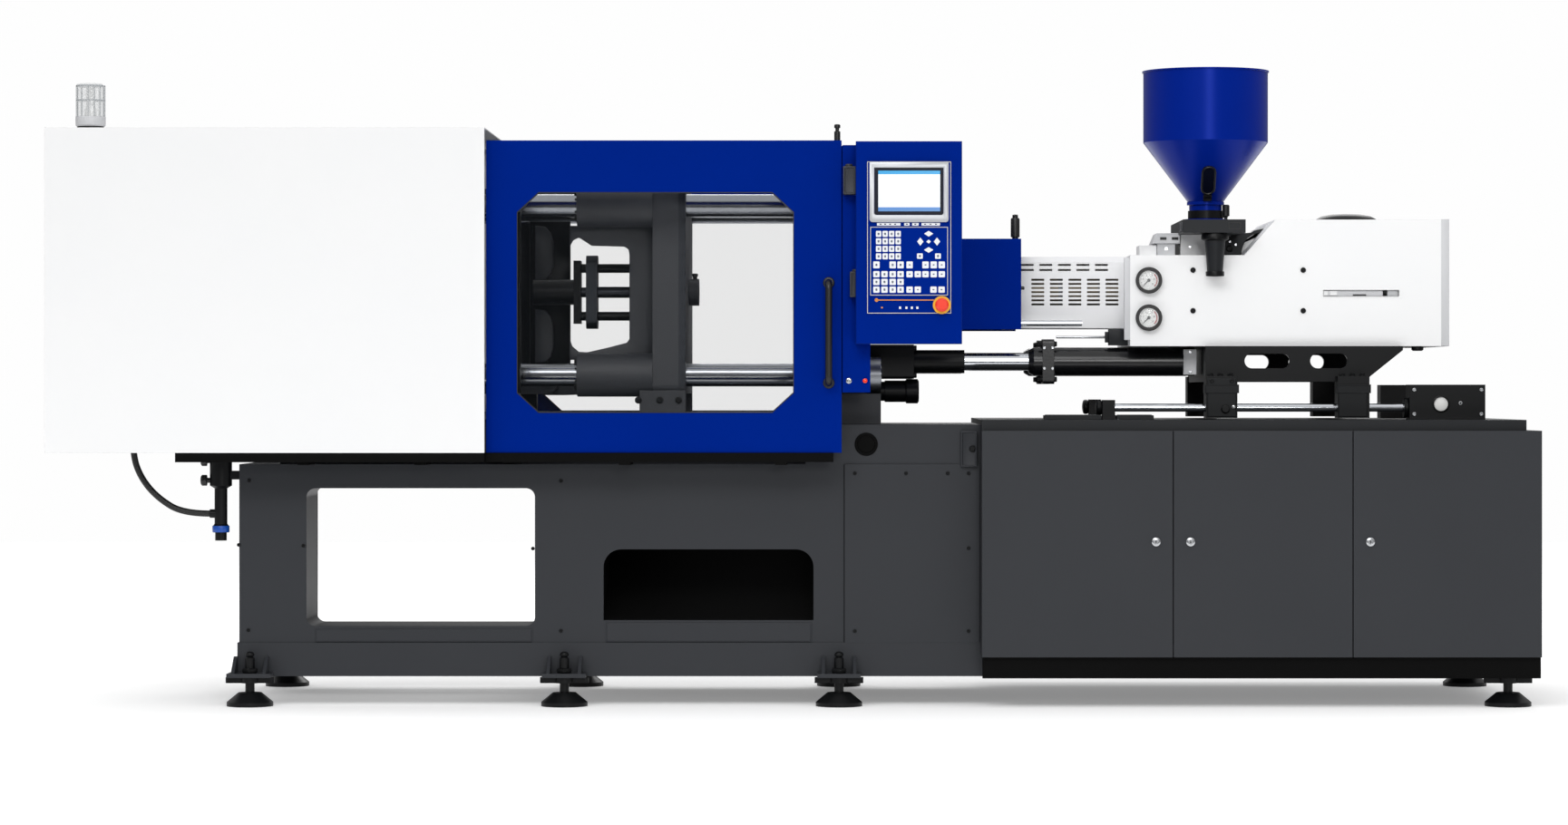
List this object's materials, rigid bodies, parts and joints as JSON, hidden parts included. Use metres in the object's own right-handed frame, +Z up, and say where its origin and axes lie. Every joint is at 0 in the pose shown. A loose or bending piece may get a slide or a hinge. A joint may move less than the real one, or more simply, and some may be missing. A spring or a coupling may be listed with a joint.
{
  "type": "injection moulding machine",
  "caption": "Horizontal plastic injection moulding machine with a toggle clamp behind a sliding safety door, a control box, a hopper-fed injection unit and a cabinet base.",
  "frame": {"origin": "on the floor, under the middle of the machine", "axes": "+X along the machine from clamp to injection unit, -Y towards the operator, +Z up"},
  "size_m": [5.11, 1.45, 2.221],
  "materials": {
    "bed_paint": "satin dark grey enamel",
    "black_enamel": "satin black enamel",
    "white_paint": "semi-gloss white powder coat",
    "blue_paint": "semi-gloss deep blue powder coat",
    "light_grey_paint": "satin light grey powder coat",
    "cast_grey": "painted casting with machined faces",
    "link_iron": "machined ductile iron",
    "steel": "ground steel",
    "chrome": "hard chrome",
    "clear_pane": "clear safety sheet",
    "lamp_clear": "ribbed clear lens",
    "black_plastic": "moulded black",
    "bezel_plastic": "light grey moulded",
    "screen_glass": "display",
    "membrane": "blue membrane",
    "stop_red": "red button",
    "needle_black": "black",
    "rubber_hose": "matt black hose",
    "chute_sheet": "black sheet",
    "screw_steel": "nitrided",
    "band_steel": "heater band"
  },
  "bodies": {
    "frame": {"bed": "bed_paint", "parts_chute": "chute_sheet", "bed_rails": "steel", "foot_pads": "black_enamel", "foot_screws": "black_enamel", "access_panel": "bed_paint", "cabinet": "bed_paint", "table_plate": "bed_paint", "stationary_platen": "cast_grey", "tie_bars": "chrome", "tie_bar_nuts": "steel", "clamp_cover": "white_paint", "door_rails": "black_enamel", "fixed_guards": "blue_paint", "lamp_base": "light_grey_paint", "lamp_lens": "lamp_clear", "control_box": "blue_paint", "control_panel": "bezel_plastic", "screen": "screen_glass", "keypad": "membrane", "guide_rods": "chrome", "rod_brackets": "black_enamel", "carriage_rods": "chrome", "filter_unit": "black_enamel", "hose": "rubber_hose"},
    "cabinet_door_1": {"cabinet_door_1": "bed_paint"},
    "cabinet_door_2": {"cabinet_door_2": "bed_paint"},
    "cabinet_door_3": {"cabinet_door_3": "bed_paint"},
    "front_safety_door": {"front_door": "blue_paint", "front_pane": "clear_pane", "front_handle": "black_plastic"},
    "rear_safety_door": {"rear_door": "blue_paint", "rear_pane": "clear_pane"},
    "tail": {"tail_platen": "cast_grey", "clamp_cylinder": "black_enamel"},
    "upper_rear_link": {"upper_rear_link": "link_iron"},
    "upper_front_link": {"upper_front_link": "link_iron"},
    "lower_rear_link": {"lower_rear_link": "link_iron"},
    "lower_front_link": {"lower_front_link": "link_iron"},
    "upper_crosshead_link": {"upper_crosshead_link": "link_iron"},
    "lower_crosshead_link": {"lower_crosshead_link": "link_iron"},
    "crosshead": {"crosshead": "link_iron"},
    "moving_platen": {"moving_platen": "cast_grey", "ejector_cylinder": "black_enamel"},
    "ejector": {"ejector_plate": "steel"},
    "carriage": {"carriage_frame": "black_enamel", "barrel": "steel", "heater_bands": "band_steel", "barrel_cover": "light_grey_paint", "carriage_cylinders": "black_enamel", "injection_housing": "white_paint", "pressure_gauges": "black_plastic", "hopper_base": "black_enamel"},
    "upper_needle": {"upper_needle": "needle_black"},
    "lower_needle": {"lower_needle": "needle_black"},
    "thrust_unit": {"thrust_unit": "light_grey_paint"},
    "screw": {"screw": "screw_steel"},
    "hopper": {"hopper": "blue_paint"},
    "nozzle_guard": {"nozzle_guard": "blue_paint"},
    "emergency_stop": {"emergency_stop": "stop_red"}
  },
  "joints": [
    {"name": "front_door_slide", "type": "slide", "parent": "frame", "child": "front_safety_door", "axis": [1, 0, 0], "range_m": [-1.05, 0]},
    {"name": "rear_door_slide", "type": "slide", "parent": "frame", "child": "rear_safety_door", "axis": [1, 0, 0], "range_m": [-1.05, 0]},
    {"name": "mould_height_adjust", "type": "slide", "parent": "frame", "child": "tail", "axis": [1, 0, 0], "range_m": [-0.083, 0.257]},
    {"name": "toggle", "type": "hinge", "parent": "tail", "child": "upper_rear_link", "pos_m": [-1.446, 0, 1.755], "axis": [0, 1, 0], "range_deg": [0, 75]},
    {"name": "upper_elbow", "type": "hinge", "parent": "upper_rear_link", "child": "upper_front_link", "pos_m": [-1.163, 0, 1.755], "axis": [0, 1, 0], "range_deg": [-150, 0]},
    {"name": "platen_pin", "type": "hinge", "parent": "upper_front_link", "child": "moving_platen", "pos_m": [-0.88, 0, 1.755], "axis": [0, 1, 0], "range_deg": [0, 75]},
    {"name": "lower_tail_pin", "type": "hinge", "parent": "tail", "child": "lower_rear_link", "pos_m": [-1.446, 0, 1.115], "axis": [0, 1, 0], "range_deg": [-75, 0]},
    {"name": "lower_elbow", "type": "hinge", "parent": "lower_rear_link", "child": "lower_front_link", "pos_m": [-1.163, 0, 1.115], "axis": [0, 1, 0], "range_deg": [0, 150]},
    {"name": "upper_bend_pin", "type": "hinge", "parent": "upper_rear_link", "child": "upper_crosshead_link", "pos_m": [-1.35244, 0, 1.7385], "axis": [0, 1, 0], "range_deg": [-150, 0]},
    {"name": "crosshead_pin", "type": "hinge", "parent": "upper_crosshead_link", "child": "crosshead", "pos_m": [-1.25889, 0, 1.755], "axis": [0, 1, 0], "range_deg": [0, 75]},
    {"name": "lower_bend_pin", "type": "hinge", "parent": "lower_rear_link", "child": "lower_crosshead_link", "pos_m": [-1.35244, 0, 1.1315], "axis": [0, 1, 0], "range_deg": [0, 150]},
    {"name": "ejector_stroke", "type": "slide", "parent": "moving_platen", "child": "ejector", "axis": [1, 0, 0], "range_m": [0, 0.14]},
    {"name": "carriage_slide", "type": "slide", "parent": "frame", "child": "carriage", "axis": [1, 0, 0], "range_m": [-0.15, 0.12]},
    {"name": "injection_stroke", "type": "slide", "parent": "carriage", "child": "thrust_unit", "axis": [1, 0, 0], "range_m": [0, 0.2]},
    {"name": "screw_rotation", "type": "hinge", "parent": "thrust_unit", "child": "screw", "pos_m": [1, 0, 1.435], "axis": [1, 0, 0], "continuous": true},
    {"name": "upper_gauge_needle", "type": "hinge", "parent": "carriage", "child": "upper_needle", "pos_m": [1.23, -0.344, 1.469], "axis": [0, 1, 0], "range_deg": [0, 270]},
    {"name": "lower_gauge_needle", "type": "hinge", "parent": "carriage", "child": "lower_needle", "pos_m": [1.23, -0.344, 1.339], "axis": [0, 1, 0], "range_deg": [0, 270]},
    {"name": "hopper_slide", "type": "slide", "parent": "carriage", "child": "hopper", "axis": [0, -1, 0], "range_m": [0, 0.378]},
    {"name": "nozzle_guard_slide", "type": "slide", "parent": "frame", "child": "nozzle_guard", "axis": [1, 0, 0], "range_m": [0, 0.2]},
    {"name": "emergency_stop_press", "type": "slide", "parent": "frame", "child": "emergency_stop", "axis": [0, 1, 0], "range_m": [0, 0.0035]},
    {"name": "cabinet_door_1_hinge", "type": "hinge", "parent": "frame", "child": "cabinet_door_1", "pos_m": [0.641, -0.6, 0.56], "axis": [0, 0, -1], "range_deg": [0, 110]},
    {"name": "cabinet_door_2_hinge", "type": "hinge", "parent": "frame", "child": "cabinet_door_2", "pos_m": [1.907, -0.6, 0.56], "axis": [0, 0, 1], "range_deg": [0, 110]},
    {"name": "cabinet_door_3_hinge", "type": "hinge", "parent": "frame", "child": "cabinet_door_3", "pos_m": [2.555, -0.6, 0.56], "axis": [0, 0, 1], "range_deg": [0, 110]}
  ],
  "couplings": [
    {"joint": "upper_elbow", "follows": "toggle", "ratio": -2},
    {"joint": "platen_pin", "follows": "toggle", "ratio": 1},
    {"joint": "lower_tail_pin", "follows": "toggle", "ratio": -1},
    {"joint": "lower_elbow", "follows": "toggle", "ratio": 2},
    {"joint": "upper_bend_pin", "follows": "toggle", "ratio": -2},
    {"joint": "crosshead_pin", "follows": "toggle", "ratio": 1},
    {"joint": "lower_bend_pin", "follows": "toggle", "ratio": 2}
  ]
}
